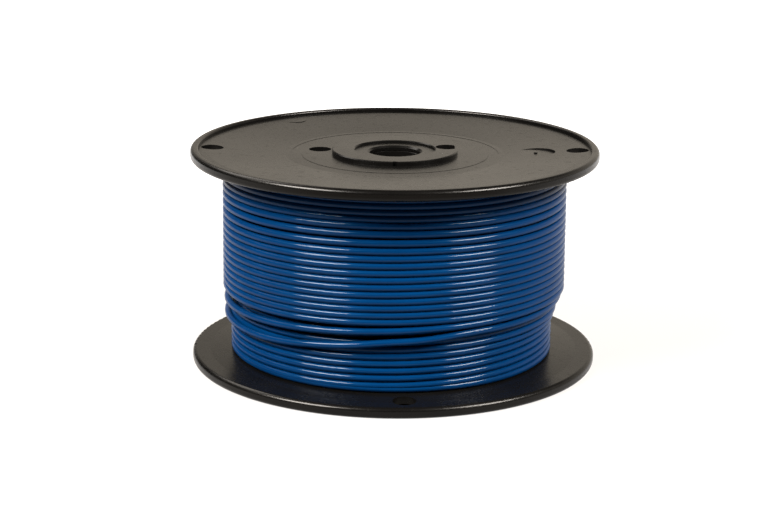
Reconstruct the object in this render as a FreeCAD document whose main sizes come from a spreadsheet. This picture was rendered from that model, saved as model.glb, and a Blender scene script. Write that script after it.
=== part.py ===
import FreeCAD, Part
import math
import os

import Sketcher

# A plastic spool of insulated primary wire, standing on its lower flange.
# Frame: millimetres, +Z up along the arbor axis, origin on the axis in the plane that the spool stands on.
# A flange is drawn in a frame of its own: z = 0 is the winding side of its rim, and +Z points out of the spool.

DIMENSIONS = {
    # overall
    "flange_diameter": 127.0,
    "overall_height": 68.0,
    # flange: rim
    "rim_thickness": 3.4,
    "bead_width": 2.6,
    "bead_outer_rounding": 1.3,
    "bead_inner_rounding": 0.6,
    "rim_corner": 1.2,
    # flange: sheet, which bells outwards from a flat middle to a flat border
    "sheet_thickness": 2.3,
    "sheet_border_radius": 58.0,
    "sheet_middle_radius": 34.0,
    "sheet_bell": 1.4,
    "sink_ring_inner_radius": 29.1,
    "sink_ring_outer_radius": 32.3,
    "sink_ring_depth": 0.07,
    # flange: hub
    "collar_diameter": 39.1,
    "collar_rise": 1.4,
    "collar_notch_width": 1.1,
    "collar_notch_depth": 0.6,
    "dish_diameter": 25.1,
    "dish_depth": 0.75,
    "collar_chamfer": 0.3,
    "arbor_chamfer": 0.6,
    "arbor_diameter": 15.9,
    "arbor_lip": 1.45,
    "socket_wall": 2.4,
    "socket_length": 8.0,
    # flange: seat for the barrel, and the webs between it and the hub
    "seat_depth": 1.0,
    "seat_clearance": 0.05,
    "seat_ring_wall": 1.7,
    "seat_ring_length": 4.0,
    "web_count": 6,
    "web_width": 1.6,
    "web_angle": 30.0,
    # flange: holes, gate well and ejector mark
    "hole_diameter": 7.0,
    "rim_hole_radius": 56.8,
    "drive_hole_radius": 16.5,
    "drive_hole_angle": 10.5,
    "guide_hole_radius": 23.9,
    "guide_hole_angle": 168.5,
    "gate_well_radius": 6.1,
    "gate_well_depth": 0.25,
    "gate_well_place": 43.8,
    "gate_nub_radius": 0.55,
    "gate_nub_rise": 0.35,
    "ejector_mark_radius": 4.0,
    "ejector_mark_sink": 0.08,
    "ejector_mark_place": 56.6,
    "ejector_mark_angle": 126.4,
    # the lower flange is the same moulding, turned about the arbor
    "lower_flange_turn": 93.5,
    # barrel and arbor sleeve
    "barrel_diameter": 63.5,
    "barrel_wall": 2.4,
    "sleeve_wall": 1.85,
    "sleeve_chamfer": 0.35,
    "end_clearance": 0.05,
    # wire: 18 AWG, and the shape that its winding takes
    "wire_diameter": 2.13,
    "winding_clearance": 0.1,
    "winding_split_radius": 47.4,
    "winding_upper_radius": 53.3,
    "winding_lower_radius": 51.3,
    "winding_step_height": 13.5,
    # wire: its stranded copper conductor, where the cut end shows it
    "strand_diameter": 0.254,
    "strand_gap": 0.01,
    "strand_length": 1.2,
}

# The wire's tail, from the winding to its end in a rim hole of the lower flange:
# distance from the arbor axis, angle about it in degrees, and height.
TAIL_ROUTE = [
    (54.5, 127.0, 20.6),
    (54.6, 118.5, 19.7),
    (54.8, 110.0, 17.3),
    (55.2, 102.0, 13.3),
    (56.0, 96.0, 8.4),
    (56.8, 93.5, 2.5),
]
ARC_SHARE = 0.45  # an arc takes this share of the shorter of the two runs that it joins
STRAND_RINGS = (1, 5, 10)  # the strands in each ring about the bundle's axis, from the middle out
TOLERANCE = 0.01

doc = FreeCAD.newDocument("wire_spool")
sheet = doc.addObject("Spreadsheet::Sheet", "dims")
for row, (alias, number) in enumerate(DIMENSIONS.items(), start=1):
    sheet.set(f"A{row}", alias)
    sheet.set(f"B{row}", str(number))
    sheet.setAlias(f"B{row}", alias)
doc.recompute()


# ---- expressions on the sheet ----


def bound(text):
    """An expression for setExpression, from text whose words are dimensions, numbers and signs."""
    return " ".join(f"dims.{word}" if word in DIMENSIONS else word for word in text.split())


def value(text):
    """What such an expression comes to, as a plain number."""
    return float(sheet.evalExpression(bound(text)))


# Radii.
RIM = "flange_diameter / 2"
BEAD_INNER = f"{RIM} - bead_width"
COLLAR = "collar_diameter / 2"
DISH = "dish_diameter / 2"
ARBOR = "arbor_diameter / 2"
SLEEVE = f"{ARBOR} + sleeve_wall"
SOCKET = f"{SLEEVE} + seat_clearance"
SOCKET_OUTER = f"{SOCKET} + socket_wall"
BARREL = "barrel_diameter / 2"
BARREL_INNER = f"{BARREL} - barrel_wall"
SEAT_OUTER = f"{BARREL} + seat_clearance"
SEAT_INNER = f"{BARREL_INNER} - seat_clearance"
SEAT_RING_INNER = f"{SEAT_INNER} - seat_ring_wall"
WINDING_INNER = f"{BARREL} + winding_clearance"
# Heights in a flange's own frame.
INNER_MIDDLE = "0 - sheet_bell"
OUTER_MIDDLE = "sheet_thickness - sheet_bell"
COLLAR_TOP = f"{OUTER_MIDDLE} + collar_rise"
DISH_FLOOR = f"{COLLAR_TOP} - dish_depth"
LIP_BOTTOM = f"{DISH_FLOOR} - arbor_lip"
SOCKET_END = f"{INNER_MIDDLE} - socket_length"
SEAT_FLOOR = f"{INNER_MIDDLE} + seat_depth"
SEAT_RING_END = f"{INNER_MIDDLE} - seat_ring_length"


# ---- building blocks ----


def new_body(label):
    """An empty body whose label names the sub-part."""
    body = doc.addObject("PartDesign::Body", f"body_{label}")
    body.Label = label
    return body


def new_sketch(body, name, role, height=None):
    """A sketch on one of the body's own origin planes, or at a height over it."""
    sketch = body.newObject("Sketcher::SketchObject", name)
    plane = next(f for f in body.Origin.OriginFeatures if f.Role == role)
    sketch.AttachmentSupport = [(plane, "")]
    sketch.MapMode = "FlatFace"
    if height is not None:
        sketch.setExpression("AttachmentOffset.Base.z", bound(height))
    return sketch


def constrain(sketch, kind, where, text):
    """A dimension of the sketch that follows the sheet."""
    index = sketch.addConstraint(Sketcher.Constraint(kind, *where, value(text)))
    sketch.setExpression(f"Constraints[{index}]", bound(text))


def pin_point(sketch, geometry, point, across, up):
    """Holds one point of a sketch at two coordinates."""
    constrain(sketch, "DistanceX", (-1, 1, geometry, point), across)
    constrain(sketch, "DistanceY", (-1, 1, geometry, point), up)


def draw_outline(sketch, corners):
    """A closed outline of straight sides."""
    places = [FreeCAD.Vector(value(across), value(up), 0) for across, up in corners]
    following = places[1:] + places[:1]
    for start, end in zip(places, following):
        sketch.addGeometry(Part.LineSegment(start, end), False)
    for k in range(len(corners)):
        joined = (k + 1) % len(corners)
        sketch.addConstraint(Sketcher.Constraint("Coincident", k, 2, joined, 1))
    for k, (across, up) in enumerate(corners):
        pin_point(sketch, k, 1, across, up)


def draw_circle(sketch, across, up, radius):
    """A circle about a point."""
    centre = FreeCAD.Vector(value(across), value(up), 0)
    upwards = FreeCAD.Vector(0, 0, 1)
    index = sketch.addGeometry(Part.Circle(centre, upwards, value(radius)), False)
    constrain(sketch, "Radius", (index,), radius)
    pin_point(sketch, index, 3, across, up)


def revolve(body, name, corners):
    """A full turn of an outline about the body's Z axis. A corner is a radius and a height."""
    sketch = new_sketch(body, f"{name}_outline", "XZ_Plane")
    draw_outline(sketch, corners)
    turned = body.newObject("PartDesign::Revolution", name)
    turned.Profile = sketch
    turned.ReferenceAxis = (sketch, ["V_Axis"])
    turned.Angle = 360.0
    doc.recompute()


def cut_down(body, name, sketch, depth):
    """A pocket from the sketch downwards."""
    before = body.Shape.Volume
    pocket = body.newObject("PartDesign::Pocket", name)
    pocket.Profile = sketch
    pocket.setExpression("Length", bound(depth))
    doc.recompute()
    if body.Shape.Volume > before - TOLERANCE:
        raise RuntimeError(f"{body.Label}: {name} cuts nothing")


def build_up(body, name, sketch, height):
    """A pad from the sketch upwards."""
    pad = body.newObject("PartDesign::Pad", name)
    pad.Profile = sketch
    pad.setExpression("Length", bound(height))
    doc.recompute()
    return pad


def ring_edges(shape, rings):
    """The names of the whole circular edges with these radii and heights."""
    names = []
    for k, edge in enumerate(shape.Edges, start=1):
        if not isinstance(edge.Curve, Part.Circle):
            continue
        for radius, height in rings:
            across = abs(edge.Curve.Radius - value(radius))
            along = abs(edge.Curve.Center.z - value(height))
            if max(across, along) < TOLERANCE:
                names.append(f"Edge{k}")
    return names


def dress_edges(body, kind, name, rings, amount):
    """A fillet or a chamfer on circular edges."""
    names = ring_edges(body.Shape, rings)
    if len(names) < len(rings):
        raise RuntimeError(f"{body.Label}: {name} finds {len(names)} of {len(rings)} edges")
    base = body.Tip
    dressed = body.newObject(f"PartDesign::{kind}", name)
    dressed.Base = (base, names)
    dressed.setExpression("Radius" if kind == "Fillet" else "Size", bound(amount))
    doc.recompute()


# ---- flanges ----


def flange_outline():
    """Half the flange's section, from the arbor hole's lip outwards along the winding side and back."""
    return [
        (ARBOR, LIP_BOTTOM),
        (SOCKET, LIP_BOTTOM),
        (SOCKET, SOCKET_END),
        (SOCKET_OUTER, SOCKET_END),
        (SOCKET_OUTER, INNER_MIDDLE),
        (SEAT_RING_INNER, INNER_MIDDLE),
        (SEAT_RING_INNER, SEAT_RING_END),
        (SEAT_INNER, SEAT_RING_END),
        (SEAT_INNER, SEAT_FLOOR),
        (SEAT_OUTER, SEAT_FLOOR),
        (SEAT_OUTER, INNER_MIDDLE),
        ("sheet_middle_radius", INNER_MIDDLE),
        ("sheet_border_radius", "0"),
        (RIM, "0"),
        (RIM, "rim_thickness"),
        (BEAD_INNER, "rim_thickness"),
        (BEAD_INNER, "sheet_thickness"),
        ("sheet_border_radius", "sheet_thickness"),
        ("sheet_middle_radius", OUTER_MIDDLE),
        ("sink_ring_outer_radius", OUTER_MIDDLE),
        ("sink_ring_outer_radius", f"{OUTER_MIDDLE} - sink_ring_depth"),
        ("sink_ring_inner_radius", f"{OUTER_MIDDLE} - sink_ring_depth"),
        ("sink_ring_inner_radius", OUTER_MIDDLE),
        (COLLAR, OUTER_MIDDLE),
        (COLLAR, COLLAR_TOP),
        (DISH, COLLAR_TOP),
        (DISH, DISH_FLOOR),
        (ARBOR, DISH_FLOOR),
    ]


def round_flange(body):
    """The rounded bead, and the softened edges of the rim and the hub."""
    dress_edges(body, "Fillet", "bead_outside_rounded", [(RIM, "rim_thickness")], "bead_outer_rounding")
    inner_edge = [(BEAD_INNER, "rim_thickness")]
    dress_edges(body, "Fillet", "bead_inside_rounded", inner_edge, "bead_inner_rounding")
    dress_edges(body, "Fillet", "rim_corner_rounded", [(RIM, "0")], "rim_corner")
    collar = [(COLLAR, COLLAR_TOP), (DISH, COLLAR_TOP)]
    dress_edges(body, "Chamfer", "collar_eased", collar, "collar_chamfer")
    dress_edges(body, "Chamfer", "arbor_eased", [(ARBOR, DISH_FLOOR)], "arbor_chamfer")


def polar(radius, angle):
    """The two coordinates of a point at a radius and an angle in degrees."""
    return f"{radius} * cos( {angle} )", f"{radius} * sin( {angle} )"


def turned_by(point, angle):
    """A point turned about the origin by an angle in degrees."""
    across, up = point
    new_across = f"( {across} ) * cos( {angle} ) - ( {up} ) * sin( {angle} )"
    new_up = f"( {across} ) * sin( {angle} ) + ( {up} ) * cos( {angle} )"
    return new_across, new_up


def web_flange(body):
    """Radial webs on the winding side, from the hub's socket to the ring that the barrel fits over."""
    sketch = new_sketch(body, "web_outline", "XY_Plane", SEAT_RING_END)
    half = "web_width / 2"
    inner, outer = f"{SOCKET_OUTER} - {half}", f"{SEAT_RING_INNER} + {half}"
    corners = [(inner, f"0 - {half}"), (outer, f"0 - {half}"), (outer, half), (inner, half)]
    draw_outline(sketch, [turned_by(corner, "web_angle") for corner in corners])
    web = build_up(body, "web", sketch, "seat_ring_length + seat_depth")
    webs = body.newObject("PartDesign::PolarPattern", "webs")
    webs.Originals = [web]
    webs.Axis = (sketch, ["N_Axis"])
    webs.Angle = 360.0
    webs.setExpression("Occurrences", bound("web_count"))
    body.Tip = webs
    doc.recompute()


def drill_flange(body):
    """The two rim holes, the drive hole through the collar's edge and the guide hole beside the collar."""
    sketch = new_sketch(body, "hole_outline", "XY_Plane", "rim_thickness")
    places = [
        ("rim_hole_radius", "0"),
        ("0 - rim_hole_radius", "0"),
        polar("drive_hole_radius", "drive_hole_angle"),
        polar("guide_hole_radius", "guide_hole_angle"),
    ]
    for across, up in places:
        draw_circle(sketch, across, up, "hole_diameter / 2")
    cut_down(body, "holes", sketch, "rim_thickness + sheet_bell + sheet_thickness")


def sheet_top(radius):
    """The height of the flange's outer side at a radius between its flat middle and border."""
    bell = f"sheet_bell * ( sheet_border_radius - {radius} ) / ( sheet_border_radius - sheet_middle_radius )"
    return f"sheet_thickness - {bell}"


def mark_flange(body):
    """The gate well with its nub, the ejector mark and the notch in the collar's side."""
    cut_from = "sheet_thickness"
    well = new_sketch(body, "gate_well_outline", "XY_Plane", cut_from)
    draw_circle(well, "gate_well_place", "0", "gate_well_radius")
    well_floor = f"{sheet_top('gate_well_place')} - gate_well_depth"
    cut_down(body, "gate_well", well, f"{cut_from} - ( {well_floor} )")

    nub_outline = new_sketch(body, "gate_nub_outline", "XY_Plane", f"{well_floor} - gate_nub_rise")
    draw_circle(nub_outline, "gate_well_place", "0", "gate_nub_radius")
    build_up(body, "gate_nub", nub_outline, "gate_nub_rise * 2")

    # The ejector's flat end leaves a low step on the hub's side, where the sheet slopes away from it.
    mark_bottom = "sheet_thickness / 2"
    mark = new_sketch(body, "ejector_mark_outline", "XY_Plane", mark_bottom)
    across, up = polar("ejector_mark_place", "ejector_mark_angle")
    draw_circle(mark, across, up, "ejector_mark_radius")
    mark_top = f"{sheet_top('ejector_mark_place')} - ejector_mark_sink"
    build_up(body, "ejector_mark", mark, f"{mark_top} - {mark_bottom}")

    notch = new_sketch(body, "notch_outline", "XY_Plane", COLLAR_TOP)
    half = "collar_notch_width / 2"
    inner = f"0 - {COLLAR} + collar_notch_depth"
    outer = f"0 - {COLLAR} - collar_notch_depth"
    draw_outline(notch, [(f"0 - {half}", outer), (half, outer), (half, inner), (f"0 - {half}", inner)])
    cut_down(body, "notch", notch, "collar_rise")


def make_flange(label):
    """One moulded flange, in its own frame."""
    body = new_body(label)
    revolve(body, "section", flange_outline())
    web_flange(body)
    drill_flange(body)
    round_flange(body)
    mark_flange(body)
    return body


upper_flange = make_flange("upper_flange")
upper_flange.setExpression("Placement.Base.z", bound("overall_height - rim_thickness"))

lower_flange = make_flange("lower_flange")
upside_down = FreeCAD.Rotation(FreeCAD.Vector(1, 0, 0), 180)
turned = FreeCAD.Rotation(FreeCAD.Vector(0, 0, 1), value("lower_flange_turn"))
lower_flange.Placement.Rotation = turned.multiply(upside_down)
lower_flange.setExpression("Placement.Base.z", bound("rim_thickness"))


# ---- barrel and arbor sleeve, drawn in the spool's own frame ----


def make_tube(label, inner, outer, bottom):
    """A plain tube between the two flanges, alike at both ends."""
    body = new_body(label)
    top = f"overall_height - ( {bottom} )"
    revolve(body, "section", [(inner, bottom), (outer, bottom), (outer, top), (inner, top)])
    return body


barrel_bottom = f"rim_thickness - ( {SEAT_FLOOR} ) + end_clearance"
make_tube("barrel", BARREL_INNER, BARREL, barrel_bottom)

sleeve_bottom = f"rim_thickness - ( {LIP_BOTTOM} ) + end_clearance"
arbor_sleeve = make_tube("arbor_sleeve", ARBOR, SLEEVE, sleeve_bottom)
mouths = [(ARBOR, sleeve_bottom), (ARBOR, f"overall_height - ( {sleeve_bottom} )")]
dress_edges(arbor_sleeve, "Chamfer", "mouths_chamfered", mouths, "sleeve_chamfer")


# ---- wire: the outer shapes of its winding ----


def winding_bottom(radius):
    """The height of the winding's lower side at a radius between the flange's flat middle and border."""
    bell = f"sheet_bell * ( sheet_border_radius - {radius} ) / ( sheet_border_radius - sheet_middle_radius )"
    return f"rim_thickness + {bell} + winding_clearance"


def winding_top(radius):
    """The height of its upper side there."""
    return f"overall_height - ( {winding_bottom(radius)} )"


middle_bottom = winding_bottom("sheet_middle_radius")
middle_top = winding_top("sheet_middle_radius")
inner_layers = [
    (WINDING_INNER, middle_bottom),
    ("sheet_middle_radius", middle_bottom),
    ("winding_split_radius", winding_bottom("winding_split_radius")),
    ("winding_split_radius", winding_top("winding_split_radius")),
    ("sheet_middle_radius", middle_top),
    (WINDING_INNER, middle_top),
]
revolve(new_body("wire_inner_layers"), "section", inner_layers)

outer_layers = [
    ("winding_split_radius", winding_bottom("winding_split_radius")),
    ("winding_lower_radius", winding_bottom("winding_lower_radius")),
    ("winding_lower_radius", "winding_step_height"),
    ("winding_upper_radius", "winding_step_height"),
    ("winding_upper_radius", winding_top("winding_upper_radius")),
    ("winding_split_radius", winding_top("winding_split_radius")),
]
revolve(new_body("wire_outer_layers"), "section", outer_layers)


# ---- wire: its tail, and the copper strands that show at the cut end ----


def on_route(point):
    """A point of the route in the spool's frame."""
    radius, angle, height = point
    turn = math.radians(angle)
    return FreeCAD.Vector(radius * math.cos(turn), radius * math.sin(turn), height)


def rounded_route(points):
    """Straight runs joined by tangent arcs, as one wire, with the arcs' radii."""
    edges, radii = [], []
    start = points[0]
    for before, corner, after in zip(points, points[1:], points[2:]):
        back = before - corner
        ahead = after - corner
        shorter = min(back.Length, ahead.Length)
        back.normalize()
        ahead.normalize()
        turn = math.pi - back.getAngle(ahead)
        reach = ARC_SHARE * shorter
        radius = reach / math.tan(turn / 2)
        centre_way = (back + ahead).normalize()
        arc_start, arc_end = corner + back * reach, corner + ahead * reach
        middle = corner + centre_way * (radius / math.cos(turn / 2) - radius)
        edges.append(Part.LineSegment(start, arc_start).toShape())
        edges.append(Part.Arc(arc_start, middle, arc_end).toShape())
        radii.append(radius)
        start = arc_end
    edges.append(Part.LineSegment(start, points[-1]).toShape())
    return Part.Wire(edges), radii


def round_section(centre, way, radius):
    """A round face across a direction."""
    return Part.Face(Part.Wire(Part.makeCircle(radius, centre, way)))


route = [on_route(point) for point in TAIL_ROUTE]
path, radii = rounded_route(route)
wire_radius = value("wire_diameter / 2")
tail_shape = path.makePipeShell(
    [Part.Wire(Part.makeCircle(wire_radius, route[0], route[1] - route[0]))], True, False
)
print("tail length", round(path.Length, 1), "arc radii", [round(radius, 1) for radius in radii])
print("tail volume over section times length", tail_shape.Volume / (path.Length * math.pi * wire_radius**2))
wire_tail = doc.addObject("Part::Feature", "wire_tail")
wire_tail.Label = "wire_tail"
wire_tail.Shape = tail_shape


def strand_places():
    """The middles of the strands across the bundle, as distances along two directions."""
    pitch = value("strand_diameter + strand_gap")
    places = []
    for ring, count in enumerate(STRAND_RINGS):
        reach = max(ring * pitch, pitch / (2 * math.sin(math.pi / count)) if count > 1 else 0.0)
        for k in range(count):
            turn = 2 * math.pi * k / count
            places.append((reach * math.cos(turn), reach * math.sin(turn)))
    return places


end_way = (route[-1] - route[-2]).normalize()
end_across = end_way.cross(FreeCAD.Vector(0, 1, 0)).normalize()
end_up = end_way.cross(end_across)
strands = []
for across, up in strand_places():
    foot = route[-1] + end_across * across + end_up * up
    face = round_section(foot, end_way, value("strand_diameter / 2"))
    strands.append(face.extrude(end_way * value("strand_length")))
copper_strands = doc.addObject("Part::Feature", "copper_strands")
copper_strands.Label = "copper_strands"
copper_strands.Shape = Part.makeCompound(strands)


# ---- checks and export ----

doc.recompute()
for item in doc.Objects:
    if "Invalid" in item.State or "Error" in item.State:
        raise RuntimeError(f"{item.Name} is in state {item.State}")

nodes = [item for item in doc.Objects if item.TypeId in ("PartDesign::Body", "Part::Feature")]
for node in nodes:
    if node.Shape.isNull() or not node.Shape.isValid():
        raise RuntimeError(f"{node.Label} has no valid shape")

os.makedirs("parts", exist_ok=True)
for node in nodes:
    node.Shape.exportStep(f"parts/{node.Label}.step")
    box = node.Shape.BoundBox
    print(node.Label, len(node.Shape.Solids), "solids, z", round(box.ZMin, 2), "to", round(box.ZMax, 2))
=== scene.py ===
"""A plastic spool of blue insulated primary wire, standing on its lower flange.

Metres, +Z up along the arbor axis.
Angles are in degrees about that axis: 0 is +X, and -90 faces the camera.
"""

import math
from collections import namedtuple

import bpy
from mathutils import Matrix, Vector, noise


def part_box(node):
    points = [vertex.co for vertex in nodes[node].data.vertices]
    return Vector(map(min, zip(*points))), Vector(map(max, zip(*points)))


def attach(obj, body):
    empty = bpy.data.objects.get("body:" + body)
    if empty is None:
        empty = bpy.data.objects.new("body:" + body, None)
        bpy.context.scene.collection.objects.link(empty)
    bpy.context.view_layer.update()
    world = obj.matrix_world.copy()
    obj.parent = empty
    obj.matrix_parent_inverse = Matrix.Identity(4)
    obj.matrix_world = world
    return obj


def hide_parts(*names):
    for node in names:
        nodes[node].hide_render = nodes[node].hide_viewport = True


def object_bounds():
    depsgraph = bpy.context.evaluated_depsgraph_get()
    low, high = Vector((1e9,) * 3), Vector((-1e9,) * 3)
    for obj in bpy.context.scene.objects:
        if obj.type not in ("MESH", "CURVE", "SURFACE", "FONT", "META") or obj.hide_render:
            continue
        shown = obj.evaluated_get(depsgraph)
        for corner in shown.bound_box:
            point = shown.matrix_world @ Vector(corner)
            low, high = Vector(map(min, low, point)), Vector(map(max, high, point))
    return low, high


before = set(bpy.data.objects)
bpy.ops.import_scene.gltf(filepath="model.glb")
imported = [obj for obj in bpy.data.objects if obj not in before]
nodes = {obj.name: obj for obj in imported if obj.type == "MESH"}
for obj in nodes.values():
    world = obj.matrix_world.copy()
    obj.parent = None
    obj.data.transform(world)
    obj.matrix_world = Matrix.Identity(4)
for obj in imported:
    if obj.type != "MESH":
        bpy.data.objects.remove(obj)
cad_low, cad_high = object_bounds()
HEIGHT = cad_high.z
FLANGE_RADIUS = cad_high.x

# ---- sizes that the CAD model has too ----

RIM_THICKNESS = 0.0034
RIM_ROUNDING = 0.0013
BEAD_WIDTH, BEAD_RISE, BEAD_INNER_ROUNDING = 0.0026, 0.0011, 0.0006
SHEET_BELL = 0.0014
SHEET_BORDER = 0.058
SHEET_MIDDLE = 0.034
BARREL_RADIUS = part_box("barrel")[1].x
WIRE = 0.00213

# The wire's tail: distance from the arbor axis, angle and height.
TAIL_ROUTE = [
    (0.0545, 127.0, 0.0206),
    (0.0546, 118.5, 0.0197),
    (0.0548, 110.0, 0.0173),
    (0.0552, 102.0, 0.0133),
    (0.0560, 96.0, 0.0084),
    (0.0568, 93.5, 0.0025),
]

# ---- the winding ----

# A turn is counted from this angle, behind the spool, and runs clockwise seen from above.
START_ANGLE = 100.0
TOUCHING = 0.00005  # the play that a turn has to what it lies against
LAYER_STEP = 0.00193  # a layer lies partly in the grooves of the one below
INNER_LAYERS = 8
HIDDEN_TURN_POINTS, VISIBLE_TURN_POINTS = 12, 24
HIDDEN_STEP_ANGLE, HIDDEN_STEP_WIDTH = 20.0, 120.0

# The outermost layer: its rows open up around one height and are close set at the top.
ROW_RADIUS = 0.05265
TOP_ROW = 0.0628
ROW_COUNT = 19
ROW_PITCH = 0.00206
ROW_SPREAD, SPREAD_HEIGHT, SPREAD_REACH = 0.00058, 0.0525, 0.004
ROW_CLOSING, CLOSING_HEIGHT = 0.0002, 0.058
# A row steps down to the next one at this angle, and further round to the left the higher it is.
ROW_STEP_ANGLE, ROW_STEP_WIDTH = -112.0, 150.0
ROW_STEP_SWING, SWING_HEIGHT, SWING_RISE = 58.0, 0.030, 0.028
# Below these rows the same wire goes on one layer further in.
LOWER_RADIUS = 0.05025
LOWER_FIRST = 0.0204
LOWER_TOP, LOWER_STEPS = 0.0182, 6
LOWER_STEP_ANGLE, LOWER_STEP_WIDTH = -90.0, 200.0
# It goes in from the last of those rows at this angle.
SINK_ANGLE = -215.0
# On the right the lowest turns are drawn in closer to the barrel.
DRAWN_IN, DRAWN_ANGLE, DRAWN_WIDTH, DRAWN_TOP = 0.0014, 0.0, 85.0, 0.0170
# The unevenness of real turns, slow and quick: waves to the metre, and how far they go.
SLOW_WAVES, SLOW_SWAY = 40.0, 0.00010
QUICK_WAVES, QUICK_SWAY = 170.0, 0.00003
SWAY_SEED = 1
# The loose last turn takes over from the lowest row this many points before that row's end.
TAKEN_OVER_POINTS = 3

# The last turn rises behind from the bottom row.
# Then it lies loosely over the others on its way round to the tail.
STRAND_ROUTE = [
    (0.0509, 136.0, 0.0053),
    (0.0517, 126.0, 0.0063),
    (0.0523, 115.0, 0.0079),
    (0.0524, 103.0, 0.0098),
    (0.0524, 91.0, 0.0119),
    (0.0524, 79.0, 0.0140),
    (0.0524, 67.0, 0.0160),
    (0.0524, 55.0, 0.0179),
    (0.0524, 43.0, 0.0196),
    (0.0524, 31.0, 0.0209),
    (0.0523, 19.0, 0.0217),
    (0.0521, 7.0, 0.0221),
    (0.0520, -5.0, 0.0222),
    (0.0520, -17.0, 0.0222),
    (0.0523, -29.0, 0.0221),
    (0.0524, -41.0, 0.0219),
    (0.0525, -53.0, 0.0218),
    (0.0525, -62.0, 0.0218),
    (0.0525, -70.0, 0.0214),
    (0.0525, -77.0, 0.0207),
    (0.0525, -84.0, 0.0202),
    (0.0525, -92.0, 0.0199),
    (0.0525, -100.0, 0.0190),
    (0.0525, -108.0, 0.0182),
    (0.0525, -117.0, 0.0175),
    (0.0525, -127.0, 0.0167),
    (0.0525, -137.0, 0.0161),
    (0.0525, -147.0, 0.0158),
    (0.0525, -158.0, 0.0156),
    (0.0525, -169.0, 0.0155),
    (0.0525, -180.0, 0.0155),
    (0.0526, -190.0, 0.0158),
    (0.0529, -199.0, 0.0168),
    (0.0534, -208.0, 0.0184),
    (0.0539, -217.0, 0.0199),
    (0.0543, -225.0, 0.0207),
]

# Without a seed, the noise that makes the turns uneven starts from the clock.
noise.seed_set(SWAY_SEED)

# A turn steps over to the next one's height at one angle, and to its radius at another.
Turn = namedtuple(
    "Turn", "radius height step_angle step_width sink_angle",
    defaults=(HIDDEN_STEP_ANGLE, HIDDEN_STEP_WIDTH, HIDDEN_STEP_ANGLE),
)


def smooth(share):
    """A share from 0 to 1 that starts and stops gently."""
    share = min(max(share, 0.0), 1.0)
    return share * share * (3.0 - 2.0 * share)


def polar(radius, angle, height):
    """A point about the arbor axis."""
    turn = math.radians(angle)
    return Vector((radius * math.cos(turn), radius * math.sin(turn), height))


def lowest_row(radius):
    """The height of a wire's middle where it lies on the lower flange."""
    bell = SHEET_BELL * (SHEET_BORDER - max(radius, SHEET_MIDDLE)) / (SHEET_BORDER - SHEET_MIDDLE)
    return RIM_THICKNESS + bell + WIRE / 2 + TOUCHING


def spaced_heights(start, end, steps):
    """Heights from start to end in equal steps."""
    return [start + (end - start) * k / steps for k in range(steps + 1)]


def layer_radius(number):
    """The distance from the arbor axis to a layer's wire, counted from 1 at the barrel."""
    return BARREL_RADIUS + WIRE / 2 + TOUCHING + (number - 1) * LAYER_STEP


def full_layer(number):
    """The turns of one whole layer, which runs down the spool if its number is odd and up if it is even."""
    radius = layer_radius(number)
    low = lowest_row(radius)
    ends = (HEIGHT - low, low) if number % 2 else (low, HEIGHT - low)
    steps = int((HEIGHT - 2 * low) / WIRE)
    return [Turn(radius, height) for height in spaced_heights(*ends, steps)]


def climbing_layer(number):
    """A layer that starts with a steep climb, and lies only where the outermost one covers it."""
    radius = layer_radius(number)
    low = LOWER_FIRST + WIRE
    high = HEIGHT - lowest_row(radius)
    climb = Turn(radius - LAYER_STEP / 2, (low + lowest_row(radius)) / 2)
    steps = int((high - low) / WIRE)
    return [climb] + [Turn(radius, height) for height in spaced_heights(low, high, steps)]


def row_pitch(height):
    """The drop from one row of the outermost layer to the next."""
    spread = ROW_SPREAD * math.exp(-(((height - SPREAD_HEIGHT) / SPREAD_REACH) ** 2))
    closing = ROW_CLOSING * smooth((height - CLOSING_HEIGHT) / WIRE + 0.5)
    return ROW_PITCH + spread - closing


def outermost_layer():
    """The rows that show: close set above, and then one layer further in."""
    turns = []
    height = TOP_ROW
    for _ in range(ROW_COUNT):
        step_angle = ROW_STEP_ANGLE - ROW_STEP_SWING * smooth((height - SWING_HEIGHT) / SWING_RISE)
        turns.append(Turn(ROW_RADIUS, height, step_angle, ROW_STEP_WIDTH, SINK_ANGLE))
        height -= row_pitch(height)
    lower = [LOWER_FIRST, *spaced_heights(LOWER_TOP, lowest_row(LOWER_RADIUS), LOWER_STEPS)]
    return turns + [Turn(LOWER_RADIUS, height, LOWER_STEP_ANGLE, LOWER_STEP_WIDTH) for height in lower]


def part_way(turns, place, field, angle_field):
    """A turn's radius or height at a place counted in turns.

    It keeps to each turn's own value, but for a window where it goes over to the next one's.
    """
    first = max(0, int(place) - 1)
    value = getattr(turns[first], field)
    for j in range(first, min(int(place) + 2, len(turns) - 1)):
        middle = j + (START_ANGLE - getattr(turns[j], angle_field)) / 360.0
        share = smooth((place - middle) * 360.0 / turns[j].step_width + 0.5)
        value += (getattr(turns[j + 1], field) - getattr(turns[j], field)) * share
    return value


def settled(point):
    """A point of the winding drawn in low on the right, with the small unevenness that real turns have."""
    radius = math.hypot(point.x, point.y)
    angle = math.degrees(math.atan2(point.y, point.x))
    share = smooth(1.0 - abs(angle - DRAWN_ANGLE) / DRAWN_WIDTH) * smooth((DRAWN_TOP - point.z) / WIRE)
    depth = DRAWN_IN * share * (radius - BARREL_RADIUS) / (LOWER_RADIUS - BARREL_RADIUS)
    inward = Vector((-point.x, -point.y, 0.0)) * (depth / radius)
    slow = noise.noise_vector(point * SLOW_WAVES) * SLOW_SWAY
    quick = noise.noise_vector(point * QUICK_WAVES) * QUICK_SWAY
    return point + inward + slow + quick


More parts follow.
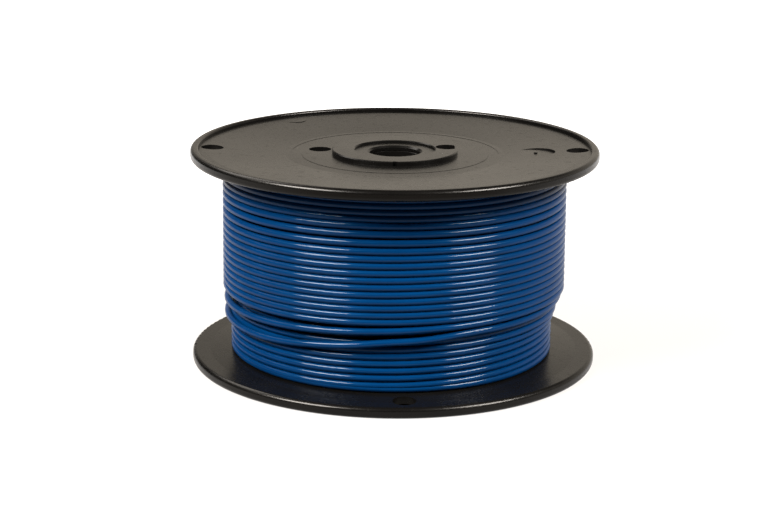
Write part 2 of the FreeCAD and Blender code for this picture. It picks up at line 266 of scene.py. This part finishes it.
def wound_points(turns, per_turn):
    """The control points of all these turns.

    A NURBS circle lies inside its points, which the radius makes up for.
    """
    points = []
    for k in range(len(turns) * per_turn + 1):
        place = k / per_turn
        radius = part_way(turns, place, "radius", "sink_angle") / math.cos(math.pi / per_turn)
        height = part_way(turns, place, "height", "step_angle")
        points.append(settled(polar(radius, START_ANGLE - 360.0 * place, height)))
    return points


def new_object(name, data):
    """An object with this data, put in the scene."""
    made = bpy.data.objects.new(name, data)
    bpy.context.scene.collection.objects.link(made)
    return made


def wire_piece(name, points, steps, sides, material):
    """A round wire along a smooth line, as one NURBS curve with closed ends."""
    curve = bpy.data.curves.new(name, "CURVE")
    curve.dimensions = "3D"
    curve.resolution_u = steps
    curve.bevel_depth = WIRE / 2
    curve.bevel_resolution = (sides - 4) // 2
    curve.use_fill_caps = True
    spline = curve.splines.new("NURBS")
    spline.points.add(len(points) - 1)
    for place, point in zip(spline.points, points):
        place.co = (*point, 1.0)
    spline.order_u = 3
    spline.use_endpoint_u = True
    curve.materials.append(material)
    return new_object(name, curve)


# ---- materials ----


class NodeTree:
    """A tree of shader nodes, with a short call for each kind of node that is added to it."""

    def __init__(self, tree):
        self.tree = tree

    def add(self, kind, inputs=(), **settings):
        """A node with its settings, and its input sockets set to values or linked to other sockets."""
        node = self.tree.nodes.new(f"ShaderNode{kind}")
        for key, value in settings.items():
            setattr(node, key, value)
        for socket, value in dict(inputs).items():
            if isinstance(value, bpy.types.NodeSocket):
                self.tree.links.new(value, node.inputs[socket])
            else:
                node.inputs[socket].default_value = value
        return node

    def math(self, operation, *values):
        """The result of a Math node."""
        return self.add("Math", enumerate(values), operation=operation).outputs[0]

    def mix(self, factor, first, second):
        """A colour between two others."""
        return self.add("Mix", {"Factor": factor, 6: first, 7: second}, data_type="RGBA").outputs[2]

    def ramp(self, factor, *stops):
        """A colour ramp through (position, colour) stops."""
        node = self.add("ValToRGB", {"Fac": factor})
        elements = node.color_ramp.elements
        while len(elements) < len(stops):
            elements.new(1.0)
        for element, (position, colour) in zip(elements, stops):
            element.position = position
            element.color = colour
        return node.outputs["Color"]

    def noise(self, place, scale, detail=3.0, roughness=0.5):
        """A noise texture's value."""
        inputs = {"Vector": place, "Scale": scale, "Detail": detail, "Roughness": roughness}
        return self.add("TexNoise", inputs).outputs["Fac"]

    def between(self, factor, low, high):
        """A number that runs from low to high with the factor."""
        inputs = {"Value": factor, "To Min": low, "To Max": high}
        return self.add("MapRange", inputs).outputs["Result"]

    def fade(self, value, start, end):
        """A share that rises gently from 0 to 1 between two values."""
        inputs = {"Value": value, "From Min": start, "From Max": end}
        return self.add("MapRange", inputs, interpolation_type="SMOOTHSTEP").outputs["Result"]

    def bump(self, height, distance, strength=1.0, under=None):
        """A bump from a height, laid over another one."""
        inputs = {"Height": height, "Distance": distance, "Strength": strength}
        if under is not None:
            inputs["Normal"] = under
        return self.add("Bump", inputs).outputs["Normal"]


class Finish(NodeTree):
    """A node material with a Principled shader."""

    def __init__(self, name, **constants):
        self.material = bpy.data.materials.new(name)
        self.material.use_nodes = True
        super().__init__(self.material.node_tree)
        self.shader = self.tree.nodes["Principled BSDF"]
        for socket, value in constants.items():
            self.shader.inputs[socket.replace("_", " ")].default_value = value

    def link(self, output, socket):
        """Gives an output to one of the shader's sockets."""
        self.tree.links.new(output, self.shader.inputs[socket])


Place = namedtuple("Place", "point x y z radius")


def surface_place(finish):
    """A point of the surface, its coordinates, and its distance from the arbor axis."""
    point = finish.add("TexCoord").outputs["Object"]
    x, y, z = finish.add("SeparateXYZ", {0: point}).outputs
    squares = finish.math("ADD", finish.math("POWER", x, 2.0), finish.math("POWER", y, 2.0))
    return Place(point, x, y, z, finish.math("SQRT", squares))


def along_turn(finish, at, length):
    """A length for each radian about the axis. A short one draws a noise out along the turn."""
    return finish.math("MULTIPLY", finish.math("ARCTAN2", at.y, at.x), length)


def grey(level, warmth=0.0):
    """A neutral or slightly warm grey."""
    return (level * (1 + warmth), level, level * (1 - warmth), 1.0)


PVC_SHADE, PVC_LIGHT = (0.0001, 0.0108, 0.0425, 1.0), (0.0001, 0.0128, 0.0495, 1.0)
PVC_GLOSS_TINT = (0.05, 0.5, 0.85, 1.0)


def wire_insulation():
    """Blue PVC: glossy, with faint extrusion lines along the wire and a slightly uneven skin."""
    finish = Finish(
        "wire_insulation", IOR=1.12, Specular_Tint=PVC_GLOSS_TINT,
        Coat_Weight=0.145, Coat_Roughness=0.10, Coat_IOR=1.5,
    )
    at = surface_place(finish)
    drawn_out = {"X": along_turn(finish, at, 0.004), "Y": at.radius, "Z": at.z}
    lines = finish.noise(finish.add("CombineXYZ", drawn_out).outputs[0], scale=3500.0, detail=2.0)
    patches = finish.noise(at.point, scale=90.0, detail=4.0)
    finish.link(finish.ramp(patches, (0.3, PVC_SHADE), (0.7, PVC_LIGHT)), "Base Color")
    finish.link(finish.between(lines, 0.30, 0.42), "Roughness")
    uneven = finish.noise(at.point, scale=1400.0, detail=3.0)
    skin = finish.bump(uneven, distance=0.00002, strength=0.5)
    finish.link(finish.bump(lines, distance=0.00002, strength=0.5, under=skin), "Normal")
    return finish.material


PLASTIC_LEVEL, PLASTIC_WARMTH = 0.0014, 0.06
DUST_SIZE, DUST_LEVEL = 0.155, 0.05
SCUFF_ROUGHNESS = 0.08


def rim_section(finish, at, side, level, past_outer):
    """The outward direction of the rim's section, from how far a point is past each rounding's start."""
    past_inner = finish.math("SUBTRACT", at.radius, FLANGE_RADIUS - BEAD_WIDTH + BEAD_INNER_ROUNDING)
    outer = finish.math("MAXIMUM", past_outer, 0.0)
    outwards = finish.math("ADD", outer, finish.math("MINIMUM", past_inner, 0.0))
    on_rim = finish.math("GREATER_THAN", past_outer, 0.0)
    rounding = finish.math("MULTIPLY_ADD", on_rim, RIM_ROUNDING - BEAD_INNER_ROUNDING, BEAD_INNER_ROUNDING)
    past_top = finish.math("SUBTRACT", level, finish.math("SUBTRACT", HEIGHT / 2, rounding))
    past_bottom = finish.math("SUBTRACT", level, HEIGHT / 2 - RIM_THICKNESS + RIM_ROUNDING)
    upper = finish.math("MAXIMUM", past_top, 0.0)
    rise = finish.math("ADD", upper, finish.math("MINIMUM", past_bottom, 0.0))
    upwards = finish.math("MULTIPLY", rise, finish.math("SIGN", side))
    share = finish.math("DIVIDE", outwards, at.radius)
    along_x = finish.math("MULTIPLY", at.x, share)
    along_y = finish.math("MULTIPLY", at.y, share)
    return finish.add("CombineXYZ", {"X": along_x, "Y": along_y, "Z": upwards}).outputs[0]


def rim_normal(finish, at):
    """The outward direction of the surface.

    On the rounded rims it follows their section and not the mesh's coarse facets.
    """
    side = finish.math("SUBTRACT", at.z, HEIGHT / 2)
    level = finish.math("ABSOLUTE", side)
    past_outer = finish.math("SUBTRACT", at.radius, FLANGE_RADIUS - RIM_ROUNDING)
    section = rim_section(finish, at, side, level, past_outer)
    to_world = {"vector_type": "NORMAL", "convert_from": "OBJECT", "convert_to": "WORLD"}
    turned = finish.add("VectorTransform", {0: section}, **to_world).outputs[0]
    unit = finish.add("VectorMath", {0: turned}, operation="NORMALIZE").outputs["Vector"]
    on_rim = finish.math("GREATER_THAN", past_outer, 0.0)
    past_sheet = finish.math("GREATER_THAN", at.radius, FLANGE_RADIUS - BEAD_WIDTH - TOUCHING)
    over_sheet = finish.math("GREATER_THAN", level, HEIGHT / 2 - BEAD_RISE)
    on_bead = finish.math("MULTIPLY", past_sheet, over_sheet)
    plain = finish.add("NewGeometry").outputs["Normal"]
    inputs = {"Factor": finish.math("MAXIMUM", on_rim, on_bead), 4: plain, 5: unit}
    return finish.add("Mix", inputs, data_type="VECTOR").outputs[1]


def moulded_plastic(name):
    """Black polystyrene off a satin mould.

    It has faint turning marks, flow patches, handling scuffs and a little dust.
    """
    finish = Finish(name, IOR=1.22)
    at = surface_place(finish)
    flow = finish.noise(at.point, scale=45.0, detail=4.0)
    dark, light = grey(PLASTIC_LEVEL * 0.8, PLASTIC_WARMTH), grey(PLASTIC_LEVEL * 1.25, PLASTIC_WARMTH)
    colour = finish.ramp(flow, (0.3, dark), (0.7, light))
    specks = finish.add("TexVoronoi", {"Vector": at.point, "Scale": 260.0}).outputs["Distance"]
    sizes = finish.noise(at.point, scale=120.0, detail=1.0)
    spread = finish.math("ADD", specks, finish.math("MULTIPLY", sizes, 0.35))
    dust = finish.math("LESS_THAN", spread, DUST_SIZE)
    finish.link(finish.mix(dust, colour, grey(DUST_LEVEL)), "Base Color")
    rubbed = finish.noise(at.point, scale=380.0, detail=5.0, roughness=0.7)
    scuffs = finish.ramp(rubbed, (0.55, grey(0.0)), (0.72, grey(1.0)))
    rough = finish.between(flow, 0.22, 0.30)
    finish.link(finish.math("MULTIPLY_ADD", scuffs, SCUFF_ROUGHNESS, rough), "Roughness")
    rings = finish.add("CombineXYZ", {"X": along_turn(finish, at, 0.002), "Y": at.radius}).outputs[0]
    marks = finish.noise(rings, scale=2200.0, detail=2.0)
    fine = finish.noise(at.point, scale=2600.0, detail=4.0)
    grain = finish.bump(fine, distance=0.00002, strength=0.12, under=rim_normal(finish, at))
    finish.link(finish.bump(marks, distance=0.00001, strength=0.4, under=grain), "Normal")
    return finish.material


DULL_COPPER, BRIGHT_COPPER = (0.55, 0.23, 0.12, 1.0), (0.86, 0.42, 0.24, 1.0)


def bare_copper():
    """Annealed copper strands, slightly dulled."""
    finish = Finish("bare_copper", Metallic=1.0)
    place = finish.add("TexCoord").outputs["Object"]
    dulled = finish.noise(place, scale=3000.0, detail=3.0)
    finish.link(finish.ramp(dulled, (0.3, DULL_COPPER), (0.7, BRIGHT_COPPER)), "Base Color")
    finish.link(finish.between(dulled, 0.2, 0.42), "Roughness")
    return finish.material


def dress(node, material):
    """A carried-over CAD part with a better material."""
    for material_slot in nodes[node].material_slots:
        material_slot.material = material


# ---- the stage ----

# The camera's lens and sensor are in millimetres, its place in metres and its turns in radians.
LENS, SENSOR_WIDTH = 98.69, 36.0
CAMERA_PLACE = (0.0, -0.6350, 0.2005)
PITCH, YAW, ROLL = math.radians(14.77), -0.0069, 0.0076
NEAREST_SEEN, FARTHEST_SEEN = 0.01, 20.0
LIGHT_COLOUR = (1.0, 0.93, 0.85)
FLOOR_REACH = 4.0
# The floor's painted glow is off up to the first of these depths and full from the second one.
UNLIT_DEPTH, LIT_DEPTH = -0.26, -0.11
SHADED_EDGE = 0.012  # how far the painted shadow under the spool fades in from the flange's edge
# The floor's painted glow near the spool, how much brighter it is painted further back, and the depth over
# which it brightens.
NEAR_GLOW, FAR_GLOW_RISE, FAR_DEPTH = 0.75, 0.9, 0.5
BACKDROP_ANGLE = 52.0
BACKDROP_COLOUR = (0.97, 0.87, 0.73, 1.0)
# The backdrop fades in as a direction turns towards it, and out from the lower height to the upper one.
BACKDROP_SIDE, BACKDROP_MIDDLE = 0.20, 0.95
BACKDROP_UPPER, BACKDROP_LOWER = 0.60, 0.40
STUDIO_DARK, STUDIO_WARMTH = 0.005, 0.1


def make_camera():
    """Front view from slightly above, tilted by under half a degree."""
    data = bpy.data.cameras.new("camera")
    data.sensor_width, data.lens = SENSOR_WIDTH, LENS
    data.clip_start, data.clip_end = NEAREST_SEEN, FARTHEST_SEEN
    camera = new_object("camera", data)
    aim = Matrix.Rotation(-YAW, 4, "Z") @ Matrix.Rotation(math.pi / 2 - PITCH, 4, "X")
    camera.matrix_world = Matrix.Translation(CAMERA_PLACE) @ aim @ Matrix.Rotation(ROLL, 4, "Z")
    bpy.context.scene.camera = camera


def make_softbox(name, angle, elevation, distance, size, power):
    """An oval diffused light that faces the middle of the spool."""
    data = bpy.data.lights.new(name, "AREA")
    data.shape = "ELLIPSE"
    data.size, data.size_y = size
    data.energy = power
    data.color = LIGHT_COLOUR
    light = new_object(name, data)
    middle = Vector((0.0, 0.0, HEIGHT / 2))
    tilt = math.radians(elevation)
    way = polar(math.cos(tilt), angle, math.sin(tilt))
    light.location = middle + way * distance
    light.rotation_euler = way.to_track_quat("Z", "Y").to_euler()


def make_floor():
    """A pale sheet that the spool stands on.

    Its emission paints light on it: off at the front, brighter further back, and with a painted shadow in
    the spot under the spool.
    """
    data = bpy.data.meshes.new("floor")
    signs = ((-1, -1), (1, -1), (1, 1), (-1, 1))
    data.from_pydata([(x * FLOOR_REACH, y * FLOOR_REACH, 0.0) for x, y in signs], [], [(0, 1, 2, 3)])
    finish = Finish("floor", Base_Color=grey(0.07, 0.14), Roughness=0.9, Emission_Color=grey(1.0))
    at = surface_place(finish)
    # The emission is painted light: off at the front, and made brighter further back.
    lit = finish.fade(at.y, UNLIT_DEPTH, LIT_DEPTH)
    # Painted shadow: the floor's glow fades out in the spot under the spool, from the flange's edge
    # inwards.
    outside_painted_shadow = finish.fade(at.radius, FLANGE_RADIUS - SHADED_EDGE, FLANGE_RADIUS)
    far = finish.math("MULTIPLY_ADD", finish.fade(at.y, 0.0, FAR_DEPTH), FAR_GLOW_RISE, NEAR_GLOW)
    glow = finish.math("MULTIPLY", finish.math("MULTIPLY", lit, outside_painted_shadow), far)
    finish.link(glow, "Emission Strength")
    data.materials.append(finish.material)
    new_object("floor", data)


def make_surroundings():
    """A dark studio with a warm white backdrop low down behind the spool, brighter towards the right."""
    world = bpy.data.worlds.new("studio")
    world.use_nodes = True
    studio = NodeTree(world.node_tree)
    way = studio.add("TexCoord").outputs["Generated"]
    facing = {0: way, 1: polar(1.0, BACKDROP_ANGLE, 0.0)}
    towards = studio.add("VectorMath", facing, operation="DOT_PRODUCT").outputs["Value"]
    behind = studio.fade(towards, BACKDROP_SIDE, BACKDROP_MIDDLE)
    height = studio.add("SeparateXYZ", {0: way}).outputs["Z"]
    low = studio.fade(height, BACKDROP_UPPER, BACKDROP_LOWER)
    dark = grey(STUDIO_DARK, STUDIO_WARMTH)
    colour = studio.mix(studio.math("MULTIPLY", behind, low), dark, BACKDROP_COLOUR)
    studio.tree.links.new(colour, studio.tree.nodes["Background"].inputs["Color"])
    bpy.context.scene.world = world
    bpy.context.scene.view_settings.view_transform = "Standard"


# ---- building ----

make_camera()
make_surroundings()
make_floor()
make_softbox("softbox_left", angle=-146.0, elevation=40.0, distance=1.0, size=(0.62, 0.34), power=48.0)
make_softbox("softbox_right", angle=-29.5, elevation=40.0, distance=1.0, size=(0.52, 0.34), power=39.0)
make_softbox("softbox_above", angle=140.0, elevation=45.0, distance=1.2, size=(1.0, 0.5), power=8.0)

insulation = wire_insulation()

hidden_turns = [turn for number in range(1, INNER_LAYERS + 1) for turn in full_layer(number)]
hidden_points = wound_points(hidden_turns, HIDDEN_TURN_POINTS)
hidden_wire = wire_piece("wire_inner_cord", hidden_points, steps=2, sides=6, material=insulation)
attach(hidden_wire, "root")
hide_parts("wire_inner_layers")

outer_turns = full_layer(INNER_LAYERS + 1) + climbing_layer(INNER_LAYERS + 2) + outermost_layer()
loose_points = [polar(*place) for place in STRAND_ROUTE + TAIL_ROUTE]
outer_points = wound_points(outer_turns, VISIBLE_TURN_POINTS)[:-TAKEN_OVER_POINTS] + loose_points
outer_wire = wire_piece("wire_outer_cord", outer_points, steps=4, sides=12, material=insulation)
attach(outer_wire, "root")
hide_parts("wire_outer_layers", "wire_tail")

flange_plastic = moulded_plastic("flange_plastic")
for flange in ("upper_flange", "lower_flange"):
    dress(flange, flange_plastic)
tube_plastic = moulded_plastic("tube_plastic")
for tube in ("barrel", "arbor_sleeve"):
    dress(tube, tube_plastic)
dress("copper_strands", bare_copper())
